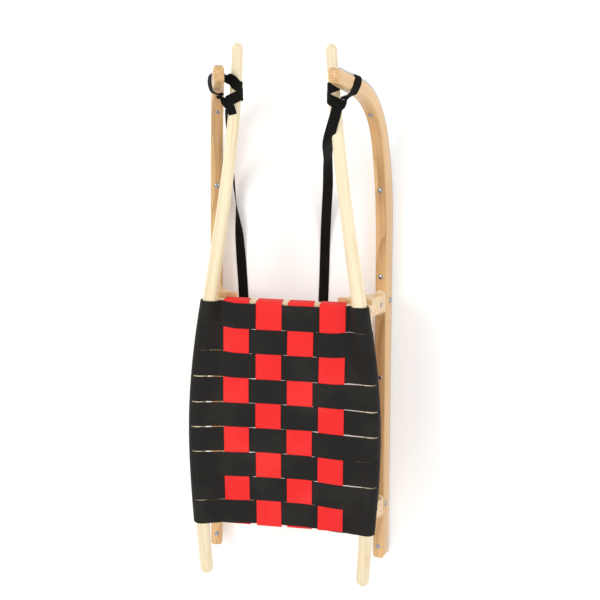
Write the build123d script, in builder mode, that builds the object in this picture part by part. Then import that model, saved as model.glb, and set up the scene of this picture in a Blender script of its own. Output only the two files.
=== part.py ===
from build123d import *
from math import acos, atan2, cos, degrees, pi, radians, sin, tan
import os

os.makedirs("parts", exist_ok=True)

# Two-seater wooden sled in millimetres. +X is forward, +Y is left, +Z is up, and the origin is
# on the floor under the middle of the sled's length.

# Runners: one bent plank each side, leaning inwards, with a steel shoe on its underside.
runner_rear_x = -535.5
runner_width = 24
runner_depth = 37            # wood, along the straight stretch
runner_lean = 14.2           # degrees, tops towards the middle
runner_toe = 0.72            # degrees, fronts towards the middle
runner_middle_y = 178.3      # middle of the shoe's underside, at the origin's X
runner_round = 3.5
runner_end_round = 7
shoe_thickness = 3
shoe_width = 20
shoe_short_of_tip = 12
# The underside sweeps up in two arcs and a straight horn. The upper face does so too, and its
# bend starts where it has to for a tip of the right depth.
low_bend_x = 183.5
low_gentle_radius = 468
low_gentle_turn = 21.1       # degrees
low_tight_radius = 196
low_turn = 76.1              # degrees, both arcs together
low_horn_length = 130
top_gentle_radius = 769
top_gentle_turn = 14.7       # degrees
top_tight_radius = 154
top_turn = 75                # degrees, both arcs together
tip_depth = 25.4             # square to the horn's underside
tip_slant = 10.3             # how far the tip's upper edge lies behind its lower edge
tip_width = 19
tip_taper_length = 110
shoe_tip_width = 14

# Seat rails: round, bowed poles. Each station is x, y, its centre's height over rail_height, and
# its radius, and each end is the same without x.
rail_front_x = 535.5
rail_rear_x = -521.7
rail_height = 198.5          # centre line where the beams carry it
rail_stations = [
    (-430, 163.5, -1, 13.7),
    (-320, 169.2, 0, 14.1),
    (-180, 170.3, 0, 14.3),
    (-60, 160.6, 0, 14.3),
    (60, 142.8, 0, 14.0),
    (200, 120.8, -1.5, 12.4),
    (340, 101.6, -3.5, 11.4),
    (450, 90.4, -2.5, 10.7),
]
rail_front_end = (85.2, 2.5, 10)
rail_rear_end = (159.3, -7, 13.2)

# Crossbeams under the rails.
beam_depth = 50              # along X
beam_half_length = 165
beam_thickness = 22
saddle_depth = 3             # how far a rail sits into its beam
beam_corner_round = 6
beam_edge_round = 2.5
front_beam_x = 28
rear_beam_x = -383

# Legs and the collars that they stand on.
front_foot_back = 2.5        # how far a foot stands behind its beam's middle
rear_foot_back = 31
front_leg_lean = 16          # how far a front leg's top lies ahead of its beam's middle
collar_length = 52
collar_width = 21
collar_height = 6
leg_depth = 37               # along X
leg_foot_width = 21
leg_top_inner_y = 96
leg_top_outer_y = 163
leg_round = 3

# Woven seat: flat bands, each over and under the others.
band_width = 50
band_thickness = 1.2
row_count = 9
row_pitch = 50.4
row_width = 48
seat_front_x = 49.5
seat_crown = 8               # how far the seat's middle arches over its ends
column_pitch = 61.5
column_count = 4
band_clearance = 0.7         # from a band's face to the wood that it wraps
band_bend = 1.2              # at a lengthwise band's corners
weave_step = 0.8             # from the weave's middle to a band's middle
weave_slack = 1              # how far past a crossing a cross band keeps its height
end_row_wrap = -30           # degrees round the rail, below its outer side
row_wrap = -125
under_beam_tuck = 20
tuck_slot_depth = 3          # slot in a leg's top that a tucked band lies in
tuck_slot_margin = 2

# Pull strap: free between the two ties. Its route is a list of points.
strap_diameter = 7
strap_floor_z = 3.8
tie_wall = 2.5
tie_clearance = 0.6
tie_rear_x = 424
tie_length = 38
tail_width = 10
tail_thickness = 5
tail_length = 12
horn_tie_rise = 6.5          # over rail_height, along the runner's own upright
horn_tie_length = 20
tie_link_length = 16         # the knot between horn and rail
tie_link_height = 14
tie_link_back = 8            # behind the horn's middle
tie_link_rise = 2            # over the rail's middle
strap_route = [
    (418, -93, 211.5),
    (386, -87, 213),
    (357, -77.5, 186),
    (336, -72, 137),
    (303, -65, 88),
    (259, -60, 46),
    (201, -53, 15),
    (135, -49, strap_floor_z),
    (65, -48, strap_floor_z),
    (-8, -46, strap_floor_z),
    (-82, -46.5, strap_floor_z),
    (-150, -48, strap_floor_z),
    (-209, -43, strap_floor_z),
    (-250, -21, strap_floor_z),
    (-275, 17, strap_floor_z),
    (-276, 62, strap_floor_z),
    (-252, 101, strap_floor_z),
    (-211, 121, strap_floor_z),
    (-157, 122, strap_floor_z),
    (-98, 118, strap_floor_z),
    (-32, 118.5, strap_floor_z),
    (40, 122, strap_floor_z),
    (105, 126, strap_floor_z),
    (165, 129, strap_floor_z),
    (222, 133.5, 11),
    (270, 133, 35),
    (311, 127.5, 72),
    (345, 119.5, 112),
    (373, 113, 154),
    (395, 109.5, 188),
    (418, 108, 196),
]


def runner_plane(side):
    up = Vector(0, -side * sin(radians(runner_lean)), cos(radians(runner_lean)))
    forward = Vector(cos(radians(runner_toe)), -side * sin(radians(runner_toe)), 0)
    across = forward.cross(up).normalized()
    lift = shoe_width / 2 * abs(across.Z)
    return Plane(origin=(0, side * runner_middle_y, lift), x_dir=forward, z_dir=across)


def on_runner(side, along, up):
    return runner_plane(side).from_local_coords(Vector(along, up, 0))


# The swept line of a runner's underside, raised by a distance into the wood.
def low_line(raised, short=0):
    start = Line((runner_rear_x, raised), (low_bend_x, raised))
    gentle = JernArc(start @ 1, (1, 0), low_gentle_radius - raised, low_gentle_turn)
    tight = JernArc(gentle @ 1, gentle % 1, low_tight_radius - raised, low_turn - low_gentle_turn)
    return start, tight, Line(tight @ 1, tight @ 1 + (tight % 1) * (low_horn_length - short))


runner_top = shoe_thickness + runner_depth
horn = low_line(shoe_thickness)[2]
horn_square = (horn % 1).rotate(Axis.Z, 90)
top_tip = horn @ 1 - (horn % 1) * tip_slant + horn_square * tip_depth
gentle, turn = radians(top_gentle_turn), radians(top_turn)
top_bend_length = top_gentle_radius * sin(gentle) + top_tight_radius * (sin(turn) - sin(gentle))
top_bend_rise = top_gentle_radius * (1 - cos(gentle)) + top_tight_radius * (cos(gentle) - cos(turn))
top_horn_length = (top_tip.Y - runner_top - top_bend_rise) / sin(turn)
top_bend_x = top_tip.X - top_bend_length - top_horn_length * cos(turn)


# The line of a runner's upper face.
def top_line():
    start = Line((runner_rear_x, runner_top), (top_bend_x, runner_top))
    gentle = JernArc(start @ 1, (1, 0), top_gentle_radius, top_gentle_turn)
    tight = JernArc(gentle @ 1, gentle % 1, top_tight_radius, top_turn - top_gentle_turn)
    return start, tight, Line(tight @ 1, tight @ 1 + (tight % 1) * top_horn_length)


# A plane at the horn's tip: its X runs up the horn and its Y from flank to flank.
def horn_plane(side):
    tip = on_runner(side, (horn @ 1).X, (horn @ 1).Y)
    above = on_runner(side, (horn @ 1 + horn % 1).X, (horn @ 1 + horn % 1).Y)
    return Plane(origin=tip, x_dir=above - tip, z_dir=runner_plane(side).z_dir.cross(above - tip))


# Two wedges beside the horn. Cut away, they leave it narrowing to tip_size at its tip.
def horn_wedges(side, full_size, tip_size):
    with BuildSketch(horn_plane(side)) as wedges:
        for edge in (1, -1):
            start = (-tip_taper_length, edge * full_size / 2)
            beyond = (tip_taper_length, edge * (tip_size - full_size / 2))
            Polygon(start, (tip_taper_length, edge * full_size / 2), beyond, align=None)
    return wedges.sketch


# The long edges of both flanks, without the creases where the horn's taper starts.
def flank_edges(runner, side):
    across, square = runner_plane(side).z_dir, horn_plane(side).z_dir
    lengthwise = runner.edges().filter_by(lambda e: abs((e % 0.5).dot(across)) < 0.9)
    return lengthwise.filter_by(lambda e: abs((e % 0.5).dot(square)) < 0.99)


def make_runner(side):
    with BuildPart() as runner:
        with BuildSketch(runner_plane(side)):
            with BuildLine():
                low = low_line(shoe_thickness)
                top = top_line()
                Line(low[0] @ 0, top[0] @ 0)
                Line(low[2] @ 1, top[2] @ 1)
            make_face()
        extrude(amount=runner_width / 2, both=True)
        wedges = horn_wedges(side, runner_width, tip_width)
        extrude(wedges, amount=2 * runner_depth, both=True, mode=Mode.SUBTRACT)
        rear = flank_edges(runner, side).filter_by(lambda e: e.center().X < runner_rear_x + runner_round)
        fillet(rear, radius=runner_end_round)
        rest_x = runner_rear_x + 2 * runner_end_round
        fillet(flank_edges(runner, side).filter_by(lambda e: e.center().X > rest_x), radius=runner_round)
    return runner


def make_shoe(side):
    with BuildPart() as shoe:
        with BuildSketch(runner_plane(side)):
            with BuildLine():
                under = low_line(0, shoe_short_of_tip)
                over = low_line(shoe_thickness, shoe_short_of_tip)
                Line(under[0] @ 0, over[0] @ 0)
                Line(under[2] @ 1, over[2] @ 1)
            make_face()
        extrude(amount=shoe_width / 2, both=True)
        wedges = horn_wedges(side, shoe_width, shoe_tip_width)
        extrude(wedges, amount=2 * runner_depth, both=True, mode=Mode.SUBTRACT)
    return shoe


# Left rail's stations from rear to front, each a point and a radius.
rear_y, rear_rise, rear_radius = rail_rear_end
front_y, front_rise, front_radius = rail_front_end
stations = [(Vector(rail_rear_x + rear_radius, rear_y, rail_height + rear_rise), rear_radius)]
stations += [(Vector(x, y, rail_height + rise), radius) for x, y, rise, radius in rail_stations]
stations += [(Vector(rail_front_x - front_radius, front_y, rail_height + front_rise), front_radius)]
rail_curve = Spline([point for point, radius in stations])


# Centre, radius and direction of the left rail where it crosses x.
def rail_at(x):
    low, high = 0.0, 1.0
    for _ in range(40):
        middle = (low + high) / 2
        if (rail_curve @ middle).X < x:
            low = middle
        else:
            high = middle
    centre = rail_curve @ low
    for (before, small), (after, large) in zip(stations, stations[1:]):
        if before.X <= x <= after.X:
            share = (x - before.X) / (after.X - before.X)
            return centre, small + (large - small) * share, rail_curve % low
    return centre, stations[-1][1], rail_curve % low


def make_rail(side):
    with BuildPart() as rail:
        for point, radius in stations:
            with BuildSketch(Plane(origin=point, x_dir=(0, 0, 1), z_dir=rail_at(point.X)[2])):
                Circle(radius)
        loft()
        for point, radius in (stations[0], stations[-1]):
            with Locations(point):
                Sphere(radius)
        if side < 0:
            mirror(about=Plane.XZ, mode=Mode.REPLACE)
    return rail


rails = {side: make_rail(side) for side in (1, -1)}


# A crossbeam lies flat under the rails, which sit in its saddles.
def beam_top(beam_x):
    centre, radius, direction = rail_at(beam_x)
    return centre.Z - radius + saddle_depth


def make_beam(beam_x):
    with BuildPart() as beam:
        with BuildSketch(Plane.XY.offset(beam_top(beam_x))):
            with Locations((beam_x, 0)):
                RectangleRounded(beam_depth, 2 * beam_half_length, beam_corner_round)
        extrude(amount=-beam_thickness)
        fillet(beam.faces().sort_by(Axis.Z)[-1].edges(), radius=beam_edge_round)
        fillet(beam.faces().sort_by(Axis.Z)[0].edges(), radius=beam_edge_round)
        for rail in rails.values():
            add(rail.part, mode=Mode.SUBTRACT)
    return beam


def foot_plane(side, foot_x, up):
    plane = runner_plane(side)
    return Plane(origin=on_runner(side, foot_x, up), x_dir=plane.x_dir, z_dir=plane.y_dir)


def make_collar(side, foot_x):
    with BuildPart() as collar:
        with BuildSketch(foot_plane(side, foot_x, runner_top)):
            SlotOverall(collar_length, collar_width)
        extrude(amount=collar_height)
    return collar


# A leg's top is slotted where the outermost lengthwise band is tucked between it and the beam.
def make_leg(side, foot_x, beam_x, top_ahead, outward):
    top = beam_top(beam_x) - beam_thickness
    slot_length = under_beam_tuck + tuck_slot_margin + top_ahead
    slot_x = beam_x + outward * (beam_depth / 2 + top_ahead - slot_length / 2)
    slot_width = band_width + 2 * tuck_slot_margin
    with BuildPart() as leg:
        with BuildSketch(foot_plane(side, foot_x, runner_top + collar_height)):
            RectangleRounded(leg_depth, leg_foot_width, leg_round)
        with BuildSketch(Plane.XY.offset(top)):
            with Locations((beam_x + top_ahead, side * (leg_top_inner_y + leg_top_outer_y) / 2)):
                RectangleRounded(leg_depth, leg_top_outer_y - leg_top_inner_y, leg_round)
        loft()
        with Locations((slot_x, side * column_ys[0], top - tuck_slot_depth / 2)):
            Box(slot_length, slot_width, tuck_slot_depth, mode=Mode.SUBTRACT)
    return leg


# The outline of a band of one thickness that follows a line of points.
def band_outline(points, thickness):
    sides = ([], [])
    for i, point in enumerate(points):
        before = points[i] - points[i - 1] if i else points[1] - points[0]
        after = points[i + 1] - points[i] if i + 1 < len(points) else before
        first = Vector(-before.Y, before.X).normalized()
        second = Vector(-after.Y, after.X).normalized()
        mitre = (first + second) * (thickness / 2 / (1 + first.dot(second)))
        sides[0].append(point + mitre)
        sides[1].append(point - mitre)
    return sides[0] + sides[1][::-1]


weave_z = beam_top(front_beam_x) + band_clearance + band_thickness / 2 + weave_step
column_ys = [column_pitch * ((column_count - 1) / 2 - i) for i in range(column_count)]
row_xs = [seat_front_x - row_pitch * (i + 0.5) for i in range(row_count)]
wrap_points = 16


def row_is_over(row, column):
    return (row + column) % 2 == 0


# The weave's middle rises in a gentle arch from beam to beam.
def weave_height(x):
    share = (x - rear_beam_x) / (front_beam_x - rear_beam_x)
    return weave_z + seat_crown * sin(pi * min(1, max(0, share)))


# A cross band's middle line in the upright plane at x: y and z, from the left rail to the right.
def row_line(row, x):
    centre, radius, direction = rail_at(x)
    hub = Vector(centre.Y, centre.Z)
    reach = radius + band_clearance + band_thickness / 2
    start = end_row_wrap if row in (0, row_count - 1) else row_wrap
    shoulder = Vector(column_ys[0] + band_width / 2 + (column_pitch - band_width) / 2, weave_height(x))
    drop = shoulder - hub
    leave = degrees(atan2(drop.Y, drop.X)) % 360 - degrees(acos(reach / drop.length))
    wrap = [start + (leave - start) * i / wrap_points for i in range(wrap_points + 1)]
    left = [hub + Vector(reach, 0).rotate(Axis.Z, angle) for angle in wrap]
    seat = []
    for column, middle_y in enumerate(column_ys):
        height = weave_height(x) + (weave_step if row_is_over(row, column) else -weave_step)
        reach_y = band_width / 2 + weave_slack
        seat += [Vector(middle_y + reach_y, height), Vector(middle_y - reach_y, height)]
    right = [Vector(-point.X, point.Y) for point in reversed(left)]
    return left + seat + right


def make_rows():
    with BuildPart() as rows:
        for row, middle_x in enumerate(row_xs):
            for x in (middle_x + row_width / 2, middle_x - row_width / 2):
                with BuildSketch(Plane.YZ.offset(x)):
                    with BuildLine():
                        Polyline(*band_outline(row_line(row, x), band_thickness), close=True)
                    make_face()
            loft(ruled=True)
    return rows


# A lengthwise band's middle line in its upright plane: x and z, from under the front beam.
def column_line(column):
    gap = band_clearance + band_thickness / 2
    front = front_beam_x + beam_depth / 2 + gap
    rear = rear_beam_x - beam_depth / 2 - gap
    steps = [-weave_step if row_is_over(row, column) else weave_step for row in range(row_count)]
    front_top = weave_height(front) + steps[0]
    rear_top = weave_height(rear) + steps[-1]
    front_under = beam_top(front_beam_x) - beam_thickness - gap
    rear_under = beam_top(rear_beam_x) - beam_thickness - gap
    points = [Vector(front - under_beam_tuck, front_under), Vector(front - band_bend, front_under)]
    points += [Vector(front, front_under + band_bend), Vector(front, front_top - band_bend)]
    points += [Vector(front - band_bend, front_top)]
    for middle_x, before, after in zip(row_xs, steps, steps[1:]):
        gap_x = middle_x - row_pitch / 2
        for x, step in ((gap_x + weave_step, before), (gap_x - weave_step, after)):
            points.append(Vector(x, weave_height(x) + step))
    points += [Vector(rear + band_bend, rear_top), Vector(rear, rear_top - band_bend)]
    points += [Vector(rear, rear_under + band_bend), Vector(rear + band_bend, rear_under)]
    points += [Vector(rear + under_beam_tuck, rear_under)]
    return points


def make_columns():
    with BuildPart() as columns:
        for column, middle_y in enumerate(column_ys):
            with BuildSketch(Plane.XZ.offset(-middle_y)):
                with BuildLine():
                    Polyline(*band_outline(column_line(column), band_thickness), close=True)
                make_face()
            extrude(amount=band_width / 2, both=True)
    return columns


# The strap's tie on each side: a sleeve round the rail, a ring round the horn, a link and a tail.
def make_tie(side, tail, after_tail):
    plane = runner_plane(side)
    centre, radius, direction = rail_at(tie_rear_x)
    middle, middle_radius, heading = rail_at(tie_rear_x + tie_length / 2)
    heading = Vector(heading.X, side * heading.Y, heading.Z)
    sleeve_plane = Plane(origin=(middle.X, side * middle.Y, middle.Z), x_dir=(0, 0, 1), z_dir=heading)
    inner_radius = radius + tie_clearance
    low, tight, low_horn = low_line(0)
    top, top_tight, top_horn = top_line()
    tie_height = rail_height + horn_tie_rise
    low_point = low_horn @ 0 + (low_horn % 0) * ((tie_height - (low_horn @ 0).Y) / (low_horn % 0).Y)
    top_point = top_horn @ 0 + (top_horn % 0) * ((tie_height - (top_horn @ 0).Y) / (top_horn % 0).Y)
    horn = (low_point + top_point) / 2
    horn_up = plane.from_local_coords(horn + low_horn % 0) - plane.from_local_coords(horn)
    horn_depth = (low_point - top_point).length + 2 * tie_clearance
    horn_width = runner_width + 2 * tie_clearance
    ring_plane = Plane(origin=on_runner(side, horn.X, horn.Y), x_dir=plane.z_dir, z_dir=horn_up)
    inward = tail - after_tail
    outward = Vector(0, tail.Y - side * centre.Y, tail.Z - centre.Z)
    with BuildPart() as tie:
        with BuildSketch(sleeve_plane):
            Circle(inner_radius + tie_wall)
            Circle(inner_radius, mode=Mode.SUBTRACT)
        extrude(amount=tie_length / 2, both=True)
        with BuildSketch(ring_plane):
            RectangleRounded(horn_width + 2 * tie_wall, horn_depth + 2 * tie_wall, runner_round + tie_wall)
            Rectangle(horn_width, horn_depth, mode=Mode.SUBTRACT)
        extrude(amount=horn_tie_length / 2, both=True)
        inner_y = middle.Y + middle_radius + tie_clearance + tie_wall / 3
        outer_y = abs(ring_plane.origin.Y) - horn_width / 2 - tie_wall / 3
        link_y = side * (inner_y + outer_y) / 2
        with Locations((horn.X - tie_link_back, link_y, middle.Z + tie_link_rise)):
            Box(tie_link_length, outer_y - inner_y, tie_link_height)
        with BuildSketch(Plane(origin=tail, x_dir=outward.cross(inward), z_dir=inward)):
            Rectangle(tail_width, tail_thickness)
        extrude(amount=tail_length)
    return tie


# The strap runs on straight stretches joined by tangent arcs, as wide as their stretches allow.
def strap_radii(route):
    radii = []
    for before, point, after in zip(route, route[1:], route[2:]):
        turn = (point - before).get_angle(after - point)
        shorter = min((point - before).length, (after - point).length)
        radii.append(0.45 * shorter / tan(radians(turn / 2)))
    return radii


route = [Vector(*point) for point in strap_route]
radii = strap_radii(route)
print("strap radii", [round(radius) for radius in radii])
with BuildPart() as strap:
    with BuildLine() as strap_path:
        FilletPolyline(*route, radius=radii)
    with BuildSketch(Plane(origin=route[0], z_dir=route[1] - route[0])):
        Circle(strap_diameter / 2)
    sweep()
path_length = strap_path.wires()[0].length
volume_share = strap.part.volume / (path_length * pi * strap_diameter**2 / 4)
print("strap length", round(path_length), "volume share", round(volume_share, 4))
strap.part.label = "pull_strap"
export_step(strap.part, "parts/pull_strap.step")

for side, name in ((1, "left"), (-1, "right")):
    pieces = {
        f"{name}_runner": make_runner(side),
        f"{name}_runner_shoe": make_shoe(side),
        f"{name}_seat_rail": rails[side],
        f"front_{name}_collar": make_collar(side, front_beam_x - front_foot_back),
        f"rear_{name}_collar": make_collar(side, rear_beam_x - rear_foot_back),
        f"front_{name}_leg": make_leg(side, front_beam_x - front_foot_back, front_beam_x, front_leg_lean, 1),
        f"rear_{name}_leg": make_leg(side, rear_beam_x - rear_foot_back, rear_beam_x, 0, -1),
        f"{name}_strap_tie": make_tie(side, *(route[:-3:-1] if side > 0 else route[:2])),
    }
    for node, piece in pieces.items():
        piece.part.label = node
        export_step(piece.part, f"parts/{node}.step")

shared = {
    "front_crossbeam": make_beam(front_beam_x),
    "rear_crossbeam": make_beam(rear_beam_x),
    "seat_cross_bands": make_rows(),
    "seat_length_bands": make_columns(),
}
for node, piece in shared.items():
    piece.part.label = node
    export_step(piece.part, f"parts/{node}.step")
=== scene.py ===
import math

import bmesh
import bpy
import numpy as np
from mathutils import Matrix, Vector


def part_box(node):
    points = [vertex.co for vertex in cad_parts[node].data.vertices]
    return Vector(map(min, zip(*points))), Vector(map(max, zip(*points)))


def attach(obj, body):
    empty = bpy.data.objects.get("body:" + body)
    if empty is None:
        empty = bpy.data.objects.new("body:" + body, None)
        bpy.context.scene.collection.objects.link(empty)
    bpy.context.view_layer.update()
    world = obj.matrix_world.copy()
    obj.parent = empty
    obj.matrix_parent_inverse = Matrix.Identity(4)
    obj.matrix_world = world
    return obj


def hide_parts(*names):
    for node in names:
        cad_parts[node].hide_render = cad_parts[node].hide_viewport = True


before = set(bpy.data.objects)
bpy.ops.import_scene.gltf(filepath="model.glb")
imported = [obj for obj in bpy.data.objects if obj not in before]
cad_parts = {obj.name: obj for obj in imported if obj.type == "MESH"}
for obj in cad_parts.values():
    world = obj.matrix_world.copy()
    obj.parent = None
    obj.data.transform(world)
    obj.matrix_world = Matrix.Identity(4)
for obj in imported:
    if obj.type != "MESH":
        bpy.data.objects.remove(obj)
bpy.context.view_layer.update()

# Two-seater wooden sled in metres. +X is forward, +Y is left, +Z is up, on the floor at Z 0.
scene = bpy.context.scene
forwards, sideways, downwards = np.array((1.0, 0, 0)), np.array((0, 1.0, 0)), np.array((0, 0, -1.0))


def newObject(name, mesh):
    piece = bpy.data.objects.new(name, mesh)
    scene.collection.objects.link(piece)
    return piece


def finishPiece(piece, material, slotName, *nodes):
    piece.data.materials.clear()
    piece.data.materials.append(material)
    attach(piece, "root")
    if nodes:
        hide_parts(*nodes)
    return piece


def unit(vector):
    return vector / np.linalg.norm(vector, axis=-1, keepdims=True)


nodeParts = {}


# Points where a CAD node's edges cross a plane.
def cutPoints(node, place, normal):
    if node not in nodeParts:
        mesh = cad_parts[node].data
        corners = np.array([vertex.co[:] for vertex in mesh.vertices])
        nodeParts[node] = corners, np.array([edge.vertices[:] for edge in mesh.edges])
    corners, edges = nodeParts[node]
    height = (corners - place) @ normal
    first, second = edges[:, 0], edges[:, 1]
    crossing = height[first] * height[second] < 0
    first, second = first[crossing], second[crossing]
    share = height[first] / (height[first] - height[second])
    return corners[first] + share[:, None] * (corners[second] - corners[first])


# A closed mesh through rings of points. The grain attribute holds each point's place in the
# straight plank that it was before it was bent: along, across and deep.
def loftRings(name, rings, grain):
    count = len(rings[0])
    faces = []
    for i in range(len(rings) - 1):
        for j in range(count):
            after = (j + 1) % count
            faces.append((i * count + j, i * count + after, (i + 1) * count + after, (i + 1) * count + j))
    faces.append(tuple(range(count))[::-1])
    faces.append(tuple((len(rings) - 1) * count + j for j in range(count)))
    mesh = bpy.data.meshes.new(name)
    mesh.from_pydata(np.concatenate(rings).tolist(), [], faces)
    place = mesh.attributes.new("grain", "FLOAT_VECTOR", "POINT")
    place.data.foreach_set("vector", np.concatenate(grain).ravel())
    makeOutward(mesh)
    mesh.shade_smooth()
    return mesh


def makeOutward(mesh):
    shape = bmesh.new()
    shape.from_mesh(mesh)
    bmesh.ops.recalc_face_normals(shape, faces=shape.faces)
    shape.to_mesh(mesh)
    shape.free()


cameraView = {
    "place": (0.6017, -0.3751, 2.2767),
    "turn": (-14.295, 9.491, -89.679),     # degrees
    "lens": 69.25,
}
studio = {
    "floorSize": 14,
    "worldStrength": 0.8,
    "floorColor": (0.97, 0.97, 0.965, 1),
    "floorRoughness": 0.9,
    "floorGlow": 0.13,
    "white": (1, 1, 1, 1),
    "lights": {                            # place, size, watts
        "keyLight": ((0.9, 1.5, 2.4), 1.2, 28),
        "fillLight": ((0.4, -2.0, 1.6), 1.6, 14),
        "rearLight": ((-2.2, 0.2, 2.2), 1.6, 9),
    },
    "target": (0, 0, 0.15),
}


# A material with constants on its shader's sockets, with an underscore for a space.
def newMaterial(name, **constants):
    material = bpy.data.materials.new(name)
    material.use_nodes = True
    shader = material.node_tree.nodes["Principled BSDF"]
    for socketName, value in constants.items():
        shader.inputs[socketName.replace("_", " ")].default_value = value
    return material, material.node_tree, shader


def makeCamera():
    camera = bpy.data.objects.new("camera", bpy.data.cameras.new("camera"))
    camera.location = cameraView["place"]
    camera.rotation_euler = [math.radians(angle) for angle in cameraView["turn"]]
    camera.data.lens = cameraView["lens"]
    scene.collection.objects.link(camera)
    scene.camera = camera


def makeStudio():
    half = studio["floorSize"] / 2
    mesh = bpy.data.meshes.new("studioFloor")
    corners = [(-half, -half, 0), (half, -half, 0), (half, half, 0), (-half, half, 0)]
    mesh.from_pydata(corners, [], [(0, 1, 2, 3)])
    floor = newObject("studioFloor", mesh)
    material = newMaterial(
        "studioFloor", Base_Color=studio["floorColor"], Roughness=studio["floorRoughness"],
        Emission_Color=studio["white"], Emission_Strength=studio["floorGlow"],
    )[0]
    mesh.materials.append(material)
    for name, (place, size, watts) in studio["lights"].items():
        light = bpy.data.lights.new(name, "AREA")
        light.size = size
        light.energy = watts
        lamp = bpy.data.objects.new(name, light)
        lamp.location = place
        lamp.rotation_euler = (Vector(studio["target"]) - Vector(place)).to_track_quat("-Z", "Y").to_euler()
        scene.collection.objects.link(lamp)
    world = bpy.data.worlds.new("studio")
    world.use_nodes = True
    background = world.node_tree.nodes["Background"]
    background.inputs["Color"].default_value = studio["white"]
    background.inputs["Strength"].default_value = studio["worldStrength"]
    scene.world = world
    scene.view_settings.view_transform = "Standard"


makeCamera()
makeStudio()
print("camera and studio ready")


def newTree(treeKind, name, inputs, outputs):
    tree = bpy.data.node_groups.new(name, treeKind)
    for socketName, kind, value in inputs:
        socket = tree.interface.new_socket(socketName, in_out="INPUT", socket_type="NodeSocket" + kind)
        if value is not None:
            socket.default_value = value
    for socketName, kind in outputs:
        tree.interface.new_socket(socketName, in_out="OUTPUT", socket_type="NodeSocket" + kind)
    return tree, tree.nodes.new("NodeGroupInput").outputs, tree.nodes.new("NodeGroupOutput").inputs


def put(tree, socket, value):
    if isinstance(value, bpy.types.NodeSocket):
        tree.links.new(value, socket)
    elif value is not None:
        socket.default_value = value


# Sets a node's inputs by name, with an underscore for a space.
def feed(tree, node, sockets):
    for name, value in sockets.items():
        put(tree, node.inputs[name.replace("_", " ")], value)
    return node


def shade(tree, kind, **sockets):
    return feed(tree, tree.nodes.new("ShaderNode" + kind), sockets)


def step(tree, kind, **sockets):
    return feed(tree, tree.nodes.new("GeometryNode" + kind), sockets)


def calc(tree, operation, first, second=None):
    node = shade(tree, "Math")
    node.operation = operation
    put(tree, node.inputs[0], first)
    put(tree, node.inputs[1], second)
    return node.outputs[0]


def plus(tree, first, second):
    return calc(tree, "ADD", first, second)


def times(tree, first, second):
    return calc(tree, "MULTIPLY", first, second)


def vectorCalc(tree, operation, first, second=None, scale=None):
    node = shade(tree, "VectorMath")
    node.operation = operation
    put(tree, node.inputs[0], first)
    put(tree, node.inputs[1], second)
    if scale is not None:                       # a Scale node alone has this socket
        put(tree, node.inputs["Scale"], scale)
    return node.outputs["Value" if operation == "LENGTH" else "Vector"]


def splitVector(tree, vector):
    return shade(tree, "SeparateXYZ", Vector=vector).outputs


def joinVector(tree, x, y, z):
    return shade(tree, "CombineXYZ", X=x, Y=y, Z=z).outputs[0]


def blendColour(tree, factor, first, second):
    node = shade(tree, "Mix")
    node.data_type = "RGBA"
    for index, value in ((0, factor), (6, first), (7, second)):
        put(tree, node.inputs[index], value)
    return node.outputs[2]


def noise(tree, place, scale=1, detail=2, roughness=0.5, output="Fac"):
    node = shade(tree, "TexNoise", Vector=place, Scale=scale, Detail=detail, Roughness=roughness)
    return node.outputs[output]


def stretchedNoise(tree, place, stretch, detail=2, roughness=0.5):
    return noise(tree, vectorCalc(tree, "MULTIPLY", place, stretch), 1, detail, roughness)


# A value carried from one range to 0..1, smoothly.
def ramp(tree, value, low, high):
    node = shade(tree, "MapRange", Value=value, From_Min=low, From_Max=high)
    node.interpolation_type = "SMOOTHSTEP"
    return node.outputs["Result"]


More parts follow.
